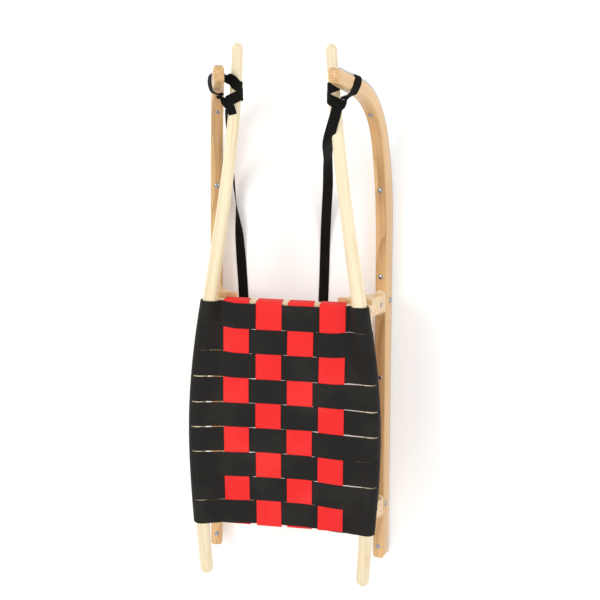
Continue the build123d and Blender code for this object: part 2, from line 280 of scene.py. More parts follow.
# Growth rings round a pith that lies beside the piece, fibres, pores and slow colour changes.
def woodGrainGroup():
    tree, given, out = newTree(
        "ShaderNodeTree", "woodGrain",
        [
            ("Place", "Vector", None),
            ("Pith", "Vector", (0, 0.03, -0.05)),
            ("Ring Pitch", "Float", 0.004),
            ("Wander", "Float", 0.006),
            ("Taper", "Float", 0.02),
            ("Ring Strength", "Float", 0.6),
            ("Streaks", "Float", 0.9),
            ("Fibres", "Float", 0.6),
            ("Pale", "Color", (0.9, 0.75, 0.5, 1)),
            ("Dark", "Color", (0.6, 0.4, 0.2, 1)),
        ],
        [("Color", "Color"), ("Height", "Float"), ("Gloss", "Float")],
    )
    place = given["Place"]
    slow = vectorCalc(tree, "MULTIPLY", place, (1.6, 16, 16))
    away = vectorCalc(tree, "SUBTRACT", noise(tree, slow, 1, 2.5, output="Color"), (0.5, 0.5, 0.5))
    away = vectorCalc(tree, "SCALE", away, scale=given["Wander"])
    radial = vectorCalc(tree, "SUBTRACT", vectorCalc(tree, "ADD", place, away), given["Pith"])
    distance = vectorCalc(tree, "LENGTH", vectorCalc(tree, "MULTIPLY", radial, (0, 1, 1)))
    distance = plus(tree, distance, times(tree, splitVector(tree, radial)[0], given["Taper"]))
    phase = calc(tree, "FRACT", calc(tree, "DIVIDE", distance, given["Ring Pitch"]))
    late = calc(tree, "POWER", phase, 2.2)                      # slow rise to the dark late wood
    late = times(tree, late, ramp(tree, phase, 1.0, 0.93))
    fibres = stretchedNoise(tree, place, (14, 700, 700), 4, 0.6)
    streaks = stretchedNoise(tree, place, (3, 130, 130), 3, 0.55)
    pores = stretchedNoise(tree, place, (90, 2100, 2100), 1)
    pores = times(tree, ramp(tree, pores, 0.6, 0.72), ramp(tree, phase, 0.55, 0.1))
    broad = stretchedNoise(tree, place, (2.2, 22, 22))
    depth = times(tree, late, given["Ring Strength"])
    marks = ((streaks, 0.5, given["Streaks"]), (fibres, 0.5, given["Fibres"]), (broad, 0.45, 0.9))
    for mark, middle, strength in marks:
        depth = plus(tree, depth, times(tree, calc(tree, "SUBTRACT", mark, middle), strength))
    colour = blendColour(tree, shade(tree, "Clamp", Value=depth).outputs[0], given["Pale"], given["Dark"])
    put(tree, out["Color"], blendColour(tree, times(tree, pores, 0.35), colour, (0.35, 0.2, 0.09, 1)))
    height = calc(tree, "SUBTRACT", times(tree, fibres, 0.4), pores)
    put(tree, out["Height"], plus(tree, height, times(tree, late, 0.35)))
    put(tree, out["Gloss"], plus(tree, times(tree, fibres, 0.14), times(tree, pores, 0.2)))
    return tree


# Handling marks: soft patches, from 0 to 1, and small scuffs.
def wearGroup():
    tree, given, out = newTree(
        "ShaderNodeTree", "wear",
        [("Place", "Vector", None), ("Patch Scale", "Float", 9.0), ("Scuff Scale", "Float", 160.0)],
        [("Patches", "Float"), ("Scuffs", "Float")],
    )
    put(tree, out["Patches"], ramp(tree, noise(tree, given["Place"], given["Patch Scale"], 3), 0.42, 0.72))
    scuffs = noise(tree, given["Place"], given["Scuff Scale"], 2, 0.7)
    put(tree, out["Scuffs"], ramp(tree, scuffs, 0.63, 0.78))
    return tree


groups = {"wood": woodGrainGroup(), "wear": wearGroup()}


def useGroup(tree, key, **values):
    node = shade(tree, "Group")
    node.node_tree = groups[key]
    return feed(tree, node, values).outputs


def finishShader(tree, shader, colour, rough, height, strength, distance):
    bump = shade(tree, "Bump", Strength=strength, Distance=distance, Height=height).outputs[0]
    feed(tree, shader, {"Base Color": colour, "Roughness": rough, "Normal": bump})


def objectPlace(tree):
    return shade(tree, "TexCoord").outputs["Object"]


def attributePlace(tree, name):
    node = shade(tree, "Attribute")
    node.attribute_name = name
    return node.outputs["Vector"]


woods = {
    "runnerWood": {
        "pale": (0.73, 0.45, 0.195, 1), "dark": (0.38, 0.19, 0.062, 1),
        "pitch": 0.0042, "pith": (0.2, 0.012, -0.075), "strength": 0.6, "wander": 0.012, "streaks": 1.5,
        "coat": 0.45,
    },
    "railWood": {
        "pale": (0.85, 0.74, 0.505, 1), "dark": (0.62, 0.43, 0.21, 1),
        "pitch": 0.0036, "pith": (0.1, 0.02, -0.03), "strength": 0.42, "wander": 0.006, "streaks": 1.25,
        "coat": 0.4,
    },
    "beamWood": {
        "pale": (0.80, 0.63, 0.40, 1), "dark": (0.50, 0.30, 0.15, 1),
        "pitch": 0.0038, "pith": (0.1, 0.015, -0.045), "strength": 0.5, "wander": 0.008, "streaks": 1.1,
        "coat": 0.3,
    },
    "legWood": {
        "pale": (0.78, 0.55, 0.285, 1), "dark": (0.46, 0.26, 0.10, 1),
        "pitch": 0.0042, "pith": (0.05, 0.012, -0.036), "strength": 0.6, "wander": 0.01, "streaks": 1.1,
        "coat": 0.35,
    },
    "collarWood": {
        "pale": (0.84, 0.68, 0.45, 1), "dark": (0.58, 0.39, 0.2, 1),
        "pitch": 0.0035, "pith": (0.0, 0.04, -0.02), "strength": 0.45, "wander": 0.004, "streaks": 0.9,
        "coat": 0.3,
    },
}


# The grain runs along X, or along X turned by Euler degrees, about the middle of the piece.
def woodMaterial(name, look, attribute=None, turn=(0, 0, 0), middle=(0, 0, 0)):
    material, tree, shader = newMaterial(name, Coat_Roughness=0.16, Coat_Weight=look["coat"])
    place = attributePlace(tree, attribute) if attribute else objectPlace(tree)
    angles = [math.radians(angle) for angle in turn]
    mapping = shade(tree, "Mapping", Vector=place, Rotation=angles, Location=middle)
    mapping.vector_type = "TEXTURE"
    place = mapping.outputs[0]
    grain = useGroup(
        tree, "wood", Place=place, Pith=look["pith"], Wander=look["wander"], Streaks=look["streaks"],
        Pale=look["pale"], Dark=look["dark"], Ring_Pitch=look["pitch"], Ring_Strength=look["strength"],
    )
    marks = useGroup(tree, "wear", Place=place)
    colour = blendColour(tree, times(tree, marks["Patches"], 0.12), grain["Color"], look["dark"])
    rough = plus(tree, plus(tree, grain["Gloss"], 0.36), times(tree, marks["Scuffs"], 0.18))
    finishShader(tree, shader, colour, rough, grain["Height"], 0.25, 0.0004)
    return material


# Runners are bent planks, lofted through the CAD solids' own sections.
runner = {
    "lean": 14.2,                   # degrees, tops towards the middle
    "toe": 0.72,                    # degrees, fronts towards the middle
    "middleY": 0.1783,
    "planeUp": 0.0024,              # of the runner's own plane's start over the floor
    "bendPivot": (0.23, 0.235),     # forward and up in the runner's own plane
    "straightUp": 0.02,             # a place inside the straight part
    "cutReach": 0.4,                # of the bend's planes, on their own side of the pivot
    "hornTurn": 76.1,               # degrees
    "tipTurn": 98.1,
    "tipMiddle": (0.4864, 0.2921),
    "edgeRound": 0.0035,
    "tipRound": 0.0065,             # at the tip's end, and how far back it reaches
    "tipRoundReach": 0.02,
    "rearX": -0.5355,
    "straightSteps": 16,
    "bendSteps": 38,
    "hornSteps": 12,
    "cornerPoints": 4,
    "shoeThickness": 0.003,
    "grainStarts": {1: 3, -1: 0},
}
endSteps = (0.0001, 0.0004, 0.001, 0.002, 0.0035, 0.0055, 0.0075)


def runnerAxes(side):
    lean, toe = math.radians(runner["lean"]), math.radians(runner["toe"])
    up = np.array((0, -side * math.sin(lean), math.cos(lean)))
    forward = np.array((math.cos(toe), -side * math.sin(toe), 0))
    across = unit(np.cross(forward, up))
    up = unit(np.cross(across, forward))
    origin = np.array((0, side * runner["middleY"], runner["planeUp"]))
    return origin, forward, up, across


# Planes that cut the plank square to its run: places and turns in the runner's own plane.
def runnerStations():
    pivotX, pivotUp = runner["bendPivot"]
    rearX, straightUp = runner["rearX"], runner["straightUp"]
    hornTurn, tipTurn = runner["hornTurn"], runner["tipTurn"]
    stations = [((rearX + inset, straightUp), 0) for inset in endSteps]
    first = rearX + endSteps[-1]
    for i in range(1, runner["straightSteps"]):
        stations.append(((first + (pivotX - first) * i / runner["straightSteps"], straightUp), 0))
    for i in range(runner["bendSteps"] + 1):
        stations.append(((pivotX, pivotUp), hornTurn * i / runner["bendSteps"]))
    hornAngle, tipAngle = math.radians(hornTurn), math.radians(tipTurn)
    horn = np.array((pivotX, pivotUp)) + pivotUp * np.array((math.sin(hornAngle), -math.cos(hornAngle)))
    tip, tipWay = np.array(runner["tipMiddle"]), np.array((math.cos(tipAngle), math.sin(tipAngle)))
    last = tip - endSteps[-1] * tipWay
    for i in range(1, runner["hornSteps"] + 1):
        share = i / runner["hornSteps"]
        stations.append((tuple(horn + (last - horn) * share), hornTurn + (tipTurn - hornTurn) * share))
    return stations + [(tuple(tip - inset * tipWay), tipTurn) for inset in endSteps[-2::-1]]


# Each section's middle, its inward direction, and its half sizes across and deep.
def runnerSections(side, node):
    origin, forward, up, across = runnerAxes(side)
    sections = []
    for (x, y), turn in runnerStations():
        angle = math.radians(turn)
        ahead = forward * math.cos(angle) + up * math.sin(angle)
        deep = up * math.cos(angle) - forward * math.sin(angle)
        place = forward * x + up * y
        found = cutPoints(node, origin + place, ahead) - origin
        wide, tall = found @ across, found @ deep
        if turn:                                    # a bend's plane also passes behind the pivot
            near = np.abs(tall - place @ deep) < runner["cutReach"]
            wide, tall = wide[near], tall[near]
        middle = origin + ahead * (place @ ahead)
        middle = middle + across * (wide.max() + wide.min()) / 2 + deep * (tall.max() + tall.min()) / 2
        sections.append((middle, deep, across, np.ptp(wide) / 2, np.ptp(tall) / 2))
    return sections


def roundedRing(section, corner, count):
    middle, deep, across, wide, tall = section
    corner = min(corner, wide * 0.98, tall * 0.98)
    ring, offsets = [], []
    for quarter, (signWide, signTall) in enumerate(((1, 1), (-1, 1), (-1, -1), (1, -1))):
        for i in range(count + 1):
            angle = math.pi / 2 * (quarter + i / count)
            offWide = signWide * (wide - corner) + corner * math.cos(angle)
            offTall = signTall * (tall - corner) + corner * math.sin(angle)
            ring.append(middle + across * offWide + deep * offTall)
            offsets.append((offWide, offTall))
    return np.array(ring), np.array(offsets)


def makeRunner(side, name):
    sections = runnerSections(side, name)
    rings, grain, along = [], [], runner["grainStarts"][side]
    tip = sections[-1][0]
    for i, section in enumerate(sections):
        if i:
            along += np.linalg.norm(section[0] - sections[i - 1][0])
        nearTip = max(0, 1 - np.linalg.norm(section[0] - tip) / runner["tipRoundReach"])
        corner = runner["edgeRound"] + (runner["tipRound"] - runner["edgeRound"]) * nearTip
        ring, offsets = roundedRing(section, corner, runner["cornerPoints"])
        rings.append(ring)
        grain.append(np.column_stack([np.full(len(ring), along), offsets]))
    plank = newObject(name + "_plank", loftRings(name + "_plank", rings, grain))
    finishPiece(plank, runnerMaterial, "runner_wood", name)
    return sections


runnerMaterial = woodMaterial("runnerWood", woods["runnerWood"], attribute="grain")
runnerPaths = {side: makeRunner(side, name) for side, name in ((1, "left_runner"), (-1, "right_runner"))}
print("runners ready")

# Seat rails are round poles that Geometry Nodes sweep along the CAD rails' middle lines.
rail = {"steps": 96, "sides": 36, "endReach": 0.012, "endSteps": 9, "grainStarts": {1: 1.0, -1: 4.0}}


# Places along X that crowd together at the two round ends.
def railPlaces(low, high):
    ends = [1 - math.cos(math.pi / 2 * (i + 0.4) / rail["endSteps"]) for i in range(rail["endSteps"])]
    ends = np.array(ends) * rail["endReach"]
    middle = np.linspace(low + rail["endReach"], high - rail["endReach"], rail["steps"])
    return np.concatenate([low + ends, middle, high - ends[::-1]])


# A rail's middle line and radius, as x, y, z and radius.
def railLine(node):
    low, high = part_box(node)
    rows = []
    for x in railPlaces(low[0], high[0]):
        found = cutPoints(node, np.array((x, 0, 0)), forwards)
        top, bottom = found[:, 2].max(), found[:, 2].min()
        rows.append((x, (found[:, 1].max() + found[:, 1].min()) / 2, (top + bottom) / 2, (top - bottom) / 2))
    return np.array(rows)


def geometryTree(name, *inputs):
    given = [("Geometry", "Geometry", None), *inputs, ("Material", "Material", None)]
    return newTree("GeometryNodeTree", name, given, [("Geometry", "Geometry")])


def readNamed(tree, name, kind="FLOAT"):
    node = step(tree, "InputNamedAttribute", Name=name)
    node.data_type = kind
    return node.outputs[0]


def storeNamed(tree, geometry, name, value, kind="FLOAT"):
    node = step(tree, "StoreNamedAttribute", Geometry=geometry, Name=name)
    node.data_type, node.domain = kind, "POINT"
    put(tree, node.inputs["Value"], value)
    return node.outputs[0]


# The last steps of each tree: plain mesh, with the material on it.
def finishTree(tree, given, out, geometry):
    whole = step(tree, "RealizeInstances", Geometry=geometry)
    finished = step(tree, "SetMaterial", Geometry=whole.outputs[0], Material=given["Material"])
    put(tree, out[0], finished.outputs[0])
    return tree


# A round pole along the input's line. The line's points carry their radius.
def poleTree():
    tree, given, out = geometryTree("poleAlongLine", ("Sides", "Int", 24), ("Grain Start", "Float", 0.0))
    vector = "FLOAT_VECTOR"
    line = step(tree, "MeshToCurve", Mesh=given["Geometry"]).outputs[0]
    line = storeNamed(tree, line, "middle", step(tree, "InputPosition").outputs[0], vector)
    line = storeNamed(tree, line, "along", step(tree, "SplineParameter").outputs["Length"])
    circle = step(tree, "CurvePrimitiveCircle", Resolution=given["Sides"], Radius=1.0).outputs[0]
    radius = readNamed(tree, "poleRadius")
    swept = step(tree, "CurveToMesh", Curve=line, Profile_Curve=circle, Scale=radius, Fill_Caps=True)
    place = step(tree, "InputPosition").outputs[0]
    parts = splitVector(tree, vectorCalc(tree, "SUBTRACT", place, readNamed(tree, "middle", vector)))
    along = plus(tree, readNamed(tree, "along"), given["Grain Start"])
    grain = joinVector(tree, along, parts[1], parts[2])
    return finishTree(tree, given, out, storeNamed(tree, swept.outputs[0], "grain", grain, vector))


# Gives the host a tree, sets its inputs, and returns the evaluated result as a plain mesh that
# faces outwards.
def runTree(host, tree, **values):
    modifier = host.modifiers.new(tree.name, "NODES")
    modifier.node_group = tree
    for socket in tree.interface.items_tree:
        if socket.in_out == "INPUT" and socket.name in values:
            modifier[socket.identifier] = values[socket.name]
    host.update_tag()
    bpy.context.view_layer.update()
    evaluated = host.evaluated_get(bpy.context.evaluated_depsgraph_get())
    mesh = bpy.data.meshes.new_from_object(evaluated)
    host.modifiers.clear()
    makeOutward(mesh)
    return mesh


def hostOf(name, points, edges=(), **attributes):
    mesh = bpy.data.meshes.new(name)
    mesh.from_pydata([tuple(point) for point in points], list(edges), [])
    for key, values in attributes.items():
        values = np.array(values, float)
        kind, field = ("FLOAT", "value") if values.ndim == 1 else ("FLOAT_VECTOR", "vector")
        mesh.attributes.new(key, kind, "POINT").data.foreach_set(field, values.ravel())
    return newObject(name, mesh)


def makeRail(side, node):
    line = railLine(node)
    edges = [(i, i + 1) for i in range(len(line) - 1)]
    pole = hostOf(node + "_pole", line[:, :3], edges, poleRadius=line[:, 3])
    values = {"Sides": rail["sides"], "Grain Start": rail["grainStarts"][side], "Material": railMaterial}
    pole.data = runTree(pole, poles, **values)
    pole.data.shade_smooth()
    finishPiece(pole, railMaterial, "rail_wood", node)
    return line


railMaterial = woodMaterial("railWood", woods["railWood"], attribute="grain")
poles = poleTree()
railNodes = {1: "left_seat_rail", -1: "right_seat_rail"}
railLines = {side: makeRail(side, node) for side, node in railNodes.items()}
print("rails ready")


# Brushed steel with fine scratches along the strip, duller where it has been scraped.
def steelMaterial(name, stretch):
    material, tree, shader = newMaterial(name, Metallic=1.0)
    marks = useGroup(tree, "wear", Place=objectPlace(tree), Patch_Scale=22.0)
    scratches = stretchedNoise(tree, objectPlace(tree), stretch, 4, 0.65)
    colour = blendColour(tree, scratches, (0.38, 0.38, 0.39, 1), (0.58, 0.58, 0.58, 1))
    colour = blendColour(tree, times(tree, marks["Patches"], 0.3), colour, (0.42, 0.41, 0.39, 1))
    rough = plus(tree, 0.24, times(tree, scratches, 0.22))
    rough = plus(tree, rough, times(tree, marks["Patches"], 0.12))
    finishShader(tree, shader, colour, rough, scratches, 0.2, 0.0002)
    return material


# The grain of each kept wooden node: its look, its turn in degrees, and its shift in metres.
keptWood = {
    "front_crossbeam": ("beamWood", (0, 0, 90), (0.01, 0, 0)),
    "rear_crossbeam": ("beamWood", (0, 0, 90), (0.013, 0.4, 0.004)),
    "front_left_leg": ("legWood", (0, 70, 90), (0.04, 0.13, 0.02)),
    "front_right_leg": ("legWood", (0, 70, -90), (0.04, -0.13, 0.02)),
    "rear_left_leg": ("legWood", (0, 70, 90), (-0.4, 0.11, 0.06)),
    "rear_right_leg": ("legWood", (0, 70, -90), (-0.4, -0.14, 0.09)),
    "front_left_collar": ("collarWood", (0, 0, 0), (0, 0.17, 0.03)),
    "front_right_collar": ("collarWood", (0, 0, 0), (0, -0.17, 0.03)),
    "rear_left_collar": ("collarWood", (0, 0, 0), (0.3, 0.17, 0.035)),
    "rear_right_collar": ("collarWood", (0, 0, 0), (0.5, -0.17, 0.034)),
}


def dressNode(node, material):
    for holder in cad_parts[node].material_slots:
        holder.material = material


for node, (look, turn, middle) in keptWood.items():
    dressNode(node, woodMaterial(node + "_wood", woods[look], turn=turn, middle=middle))
shoeSteel = steelMaterial("shoeSteel", (20, 2500, 20))
for node in ("left_runner_shoe", "right_runner_shoe"):
    dressNode(node, shoeSteel)
print("kept nodes dressed")


# Plain weave: ribs across the band and yarns along it, each over and under the others.
def weaveGroup():
    tree, given, out = newTree(
        "ShaderNodeTree", "webWeave",
        [("Place", "Vector", None), ("Rib Pitch", "Float", 0.0014), ("Yarn Pitch", "Float", 0.0011)],
        [("Height", "Float"), ("Fuzz", "Float")],
    )
    parts = splitVector(tree, given["Place"])
    rib = calc(tree, "DIVIDE", parts[0], given["Rib Pitch"])
    yarn = calc(tree, "DIVIDE", parts[1], given["Yarn Pitch"])
    shifted = plus(tree, rib, times(tree, calc(tree, "FLOOR", yarn), 0.5))
    hump = calc(tree, "ABSOLUTE", calc(tree, "SINE", times(tree, shifted, math.pi)))
    across = calc(tree, "ABSOLUTE", calc(tree, "SINE", times(tree, yarn, math.pi)))
    put(tree, out["Height"], times(tree, calc(tree, "POWER", hump, 0.6), calc(tree, "POWER", across, 0.5)))
    put(tree, out["Fuzz"], stretchedNoise(tree, given["Place"], (900, 2200, 1), 3, 0.6))
    return tree


groups["weave"] = weaveGroup()

# Each webbing's hollow colour is painted shade, darker where the weave dips between its yarns.
webbings = {
    "blackWebbing": {
        "top": (0.0195, 0.0175, 0.015, 1), "paintedHollowShade": (0.006, 0.0055, 0.005, 1),
        "dust": (0.055, 0.051, 0.045, 1),
        "sheen": 0.03, "specular": 0.14, "rib": 0.0014, "yarn": 0.0011,
    },
    "redWebbing": {
        "top": (0.94, 0.03, 0.027, 1), "paintedHollowShade": (0.62, 0.009, 0.012, 1), "dust": (0.95, 0.085, 0.065, 1),
        "sheen": 0.03, "specular": 0.2, "rib": 0.0014, "yarn": 0.0011,
    },
    "strapWebbing": {
        "top": (0.0085, 0.0075, 0.0065, 1), "paintedHollowShade": (0.003, 0.003, 0.003, 1),
        "dust": (0.024, 0.022, 0.02, 1),
        "sheen": 0.02, "specular": 0.07, "rib": 0.0012, "yarn": 0.0012,
    },
}


def webbingMaterial(name, look):
    material, tree, shader = newMaterial(
        name, Sheen_Weight=look["sheen"], Sheen_Roughness=0.45, Specular_IOR_Level=look["specular"]
    )
    place = attributePlace(tree, "grain")
    weave = useGroup(tree, "weave", Place=place, Rib_Pitch=look["rib"], Yarn_Pitch=look["yarn"])
    marks = useGroup(tree, "wear", Place=objectPlace(tree), Patch_Scale=14.0, Scuff_Scale=700.0)
    # Painted shade: where the weave is low, between the yarns, the colour goes to the darker hollow colour.
    colour = blendColour(tree, weave["Height"], look["paintedHollowShade"], look["top"])
    fuzz = times(tree, weave["Fuzz"], 0.35)
    colour = blendColour(tree, times(tree, marks["Patches"], fuzz), colour, look["dust"])
    rough = plus(tree, 0.58, times(tree, weave["Fuzz"], 0.25))
    finishShader(tree, shader, colour, rough, plus(tree, weave["Height"], fuzz), 0.5, 0.0003)
    return material


webbing = {name: webbingMaterial(name, look) for name, look in webbings.items()}


# A closed strip of webbing about a grid of points, lengthwise by across. Its edges are thinner.
def clothStrip(name, grid, thickness, edgeShare=0.5):
    along = np.gradient(grid, axis=0)
    across = np.gradient(grid, axis=1)
    normal = unit(np.cross(along, across))
    profile = np.ones(grid.shape[1])
    profile[[0, -1]] = edgeShare
    lift = normal * (thickness / 2 * profile)[None, :, None]
    middle = grid[:, grid.shape[1] // 2]
    run = np.concatenate([[0], np.cumsum(np.linalg.norm(np.diff(middle, axis=0), axis=1))])
    wide = np.concatenate([[0], np.cumsum(np.linalg.norm(np.diff(grid[0], axis=0), axis=1))])
    rings, grain = [], []
    for i in range(len(grid)):
        rings.append(np.concatenate([grid[i] + lift[i], (grid[i] - lift[i])[::-1]]))
        places = np.concatenate([wide, wide[::-1]])
        face = np.repeat((0.0, 1.0), len(wide))
        grain.append(np.column_stack([np.full(len(places), run[i]), places, face]))
    return newObject(name, loftRings(name, rings, grain)), run[-1]


seat = {
    "bandWidth": 0.05,
    "thickness": 0.0012,
    "clearance": 0.0003,
    "columnPitch": 0.0615,
    "columns": 4,
    "firstShift": 0.002,           # how far the leftmost lengthwise band has slid outwards
    "crown": 0.008,                # how far the seat's middle arches over its ends
    "step": 0.0007,                # from the weave's middle to a band's middle
    "rowRise": 0.009,              # length over which a cross band changes level
    "columnRise": 0.0035,
    "wrapEnd": -125,               # degrees round the rail, from its outer side
    "endRowWrapEnd": -30,
    "wrapSteps": 30,
    "standOff": 0.0028,            # how far a band stands off a rail's outer side
    "beamTuck": 0.02,
    "beamBend": 0.0022,
    "foldPinch": 0.0012,           # a lengthwise band draws in where it folds over a beam
    "edgeWave": 0.0002,
    # Edges between neighbouring cross bands along the seat's middle, front to back.
    "rowEdges": (0.0487, -0.001, -0.049, -0.099, -0.148, -0.1985, -0.25, -0.302, -0.3535, -0.404),
    "slide": 0.0075,               # how far the front bands have slid forward on the rails
    "slideFrom": -0.17,
    "slideOver": 0.12,
    "slideReach": 0.09,            # from the middle plane, where the sliding starts
    "bow": {1: 0.0034, -1: 0.0075},    # how far the rear bands bow back beside each rail
    "bowFrom": -0.03,
    "bowOver": 0.32,
    "bowReach": (0.03, 0.12),      # from the middle plane, where it starts and where it is full
    "wrapY": 0.17,                 # from the middle plane, where a band's place on its rail is read
    "standOffTurn": 0.8,           # radians over which a band leaves its rail
    "dropShares": (0.2, 0.4, 0.6, 0.75, 0.88),     # of the way from the rail to the weave
    "rowSteps": 60,                # over half a cross band
    "columnSteps": 170,
    "beamInside": 0.012,           # where a lengthwise band's corner over a beam ends
    "foldReach": 0.01,
    # Places over a band's width, crowded at its edges.
    "rowShares": (0, 0.015, 0.06, 0.2, 0.4, 0.6, 0.8, 0.94, 0.985, 1),
    "columnPlaces": (0, 0.0008, 0.003, 0.01, 0.02, 0.03, 0.04, 0.047, 0.0492, 0.05),
    "gapReach": 0.165,
    # Gaps between neighbouring cross bands at the left rail, the middle and the right rail.
    "gaps": [
        (0.0004, 0.0006, 0.0004), (0.0004, 0.0006, 0.0004), (0.0026, 0.001, 0.0022),
        (0.0022, 0.0009, 0.0026), (0.0024, 0.001, 0.0026), (0.0022, 0.0009, 0.0004),
        (0.0004, 0.0007, 0.0018), (0.0014, 0.0008, 0.0004),
    ],
}
beamNodes = ("front_crossbeam", "rear_crossbeam")
beamBoxes = [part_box(node) for node in beamNodes]
beamMiddles = [(low[0] + high[0]) / 2 for low, high in beamBoxes]
weaveHeight = beamBoxes[0][1][2] + seat["clearance"] + seat["thickness"] * 1.5 + seat["step"]
columnYs = [seat["columnPitch"] * ((seat["columns"] - 1) / 2 - i) for i in range(seat["columns"])]
columnYs[0] += seat["firstShift"]
rows = len(seat["rowEdges"]) - 1


# The weave's middle rises in a gentle arch from beam to beam.
def weaveLevel(x):
    share = (x - beamMiddles[1]) / (beamMiddles[0] - beamMiddles[1])
    return weaveHeight + seat["crown"] * math.sin(math.pi * min(1, max(0, share)))


def smoothShare(value):
    value = min(max(value, 0.0), 1.0)
    return value * value * (3 - 2 * value)


def rowOver(row, column):
    return (row + column) % 2 == 0


# A level that changes its sign over a short reach at each crossing. Each is a distance past it.
def crossLevel(level, crossings, reach):
    for past in crossings:
        level *= 1 - 2 * smoothShare(past / reach + 0.5)
    return level


# A cross band's height over the weave's middle at y, from 1 over a lengthwise band to -1 under it.
def rowLevel(row, y):
    crossings = [(left + right) / 2 - y for left, right in zip(columnYs, columnYs[1:])]
    return crossLevel(1 if rowOver(row, 0) else -1, crossings, seat["rowRise"])


# How far an edge between cross bands lies ahead of its place in the seat's middle.
def edgeShift(x, y):
    side = 1 if y > 0 else -1
    reach, railReach = abs(y), abs(railAt(side, x)[0])
    slide = seat["slide"] * smoothShare((x - seat["slideFrom"]) / seat["slideOver"])
    slide *= smoothShare((reach - seat["slideReach"]) / (railReach - seat["slideReach"]))
    bow = seat["bow"][side] * min(1, max(0, seat["bowFrom"] - x) / seat["bowOver"])
    start, full = seat["bowReach"]
    rise, fall = (reach - start) / (full - start), (reach - full) / (railReach - full)
    return slide - bow * smoothShare(rise) * (1 - smoothShare(fall))


# A lengthwise band's height over the weave's middle, from 1 over a cross band to -1 under it.
def columnLevel(column, x, y):
    crossings = [edge + edgeShift(edge, y) - x for edge in seat["rowEdges"][1:-1]]
    return crossLevel(-1 if rowOver(0, column) else 1, crossings, seat["columnRise"])


def railAt(side, x):
    line = railLines[side]
    return [float(np.interp(x, line[:, 0], line[:, k])) for k in (1, 2, 3)]


def gapAt(boundary, y):
    if not 0 <= boundary < len(seat["gaps"]):
        return 0
    return float(np.interp(y, (-seat["gapReach"], 0, seat["gapReach"]), seat["gaps"][boundary][::-1]))


# Where a cross band's front and rear edges run at y, and the place between them.
def acrossRow(row, share, y):
    front, rear = seat["rowEdges"][row:row + 2]
    front += edgeShift(front, y) - gapAt(row - 1, y) / 2
    rear += edgeShift(rear, y) + gapAt(row, y) / 2
    return front + (rear - front) * share


# Half of a cross band's middle line, as y and z, from its end under the rail to the middle.
def rowHalf(row, side, share):
    x = acrossRow(row, share, side * seat["wrapY"])
    hubY, hubZ, radius = railAt(side, x)
    hubY = abs(hubY)
    reach = radius + seat["clearance"] + seat["thickness"] / 2
    shoulderY = columnYs[0] + seat["columnPitch"] / 2
    shoulderX = acrossRow(row, share, side * shoulderY)
    shoulderZ = weaveLevel(shoulderX) + seat["step"] * rowLevel(row, side * shoulderY)
    dropY, dropZ = shoulderY - hubY, shoulderZ - hubZ
    drop = math.hypot(dropY, dropZ)
    leave = math.atan2(dropZ, dropY) % (2 * math.pi) - math.acos(reach / drop)
    start = math.radians(seat["endRowWrapEnd"] if row in (0, rows - 1) else seat["wrapEnd"])
    angles = np.linspace(start, leave, seat["wrapSteps"])
    line = []
    for a in angles:
        loose = seat["standOff"] * max(0, math.cos(a)) * smoothShare((a - start) / seat["standOffTurn"])
        line.append((side * (hubY + (reach + loose) * math.cos(a)), hubZ + (reach + loose) * math.sin(a)))
    lastY, lastZ = line[-1]
    for part in seat["dropShares"]:
        line.append((lastY + (side * shoulderY - lastY) * part, lastZ + (shoulderZ - lastZ) * part))
    for y in np.linspace(shoulderY, 0, seat["rowSteps"]):
        z = weaveLevel(acrossRow(row, share, side * y)) + seat["step"] * rowLevel(row, side * y)
        line.append((side * y, z))
    return line


def makeRow(row):
    widthShares = seat["rowShares"]
    lines = [rowHalf(row, 1, share) + rowHalf(row, -1, share)[-2::-1] for share in widthShares]
    lines = np.array(lines)
    grid = np.zeros((lines.shape[1], len(widthShares), 3))
    grid[:, :, 1:] = lines.transpose(1, 0, 2)
    for i in range(len(grid)):
        for k, share in enumerate(widthShares):
            y = grid[i, k, 1]
            wave = seat["edgeWave"] * math.sin(y * 31 + row * 2.3 + share * 1.4)
            grid[i, k, 0] = acrossRow(row, share, y) + wave
    piece, length = clothStrip(f"cross_band_{row + 1}", grid, seat["thickness"])
    finishPiece(piece, webbing["blackWebbing"], "black_webbing", "seat_cross_bands")
    return grid


# The corners of a line of x and z, rounded by arcs.
def roundCorners(points, radius, steps=5):
    line = [points[0]]
    for before, corner, after in zip(points, points[1:], points[2:]):
        before, corner, after = np.array(before), np.array(corner), np.array(after)
        back, ahead = unit(before - corner), unit(after - corner)
        half = math.acos(np.clip(back @ ahead, -1, 1)) / 2
        hub = corner + unit(back + ahead) * radius / math.sin(half)
        first = corner + back * radius / math.tan(half) - hub
        last = corner + ahead * radius / math.tan(half) - hub
        sweep = math.pi - 2 * half
        for i in range(steps + 1):
            share = i / steps
            mixed = (first * math.sin((1 - share) * sweep) + last * math.sin(share * sweep)) / math.sin(sweep)
            line.append(tuple(hub + mixed))
    return line + [points[-1]]


# A lengthwise band's middle line at y, as x and z, from under the front beam to under the rear.
def columnLine(column, y):
    gap = seat["clearance"] + seat["thickness"] / 2
    (frontLow, frontHigh), rearLow = beamBoxes[0], beamBoxes[1][0]
    front, rear = frontHigh[0] + gap, rearLow[0] - gap
    underFront, underRear = frontLow[2] - gap, rearLow[2] - gap
    frontZ = weaveHeight + seat["step"] * columnLevel(column, front, y)
    rearZ = weaveHeight + seat["step"] * columnLevel(column, rear, y)
    first, last = front - seat["beamInside"], rear + seat["beamInside"]
    opening = [(front - seat["beamTuck"], underFront), (front, underFront), (front, frontZ), (first, frontZ)]
    closing = [(last, rearZ), (rear, rearZ), (rear, underRear), (rear + seat["beamTuck"], underRear)]
    line = roundCorners(opening, seat["beamBend"])
    for x in np.linspace(first, last, seat["columnSteps"])[1:-1]:
        line.append((x, weaveLevel(x) + seat["step"] * columnLevel(column, x, y)))
    return np.array(line + roundCorners(closing, seat["beamBend"]))


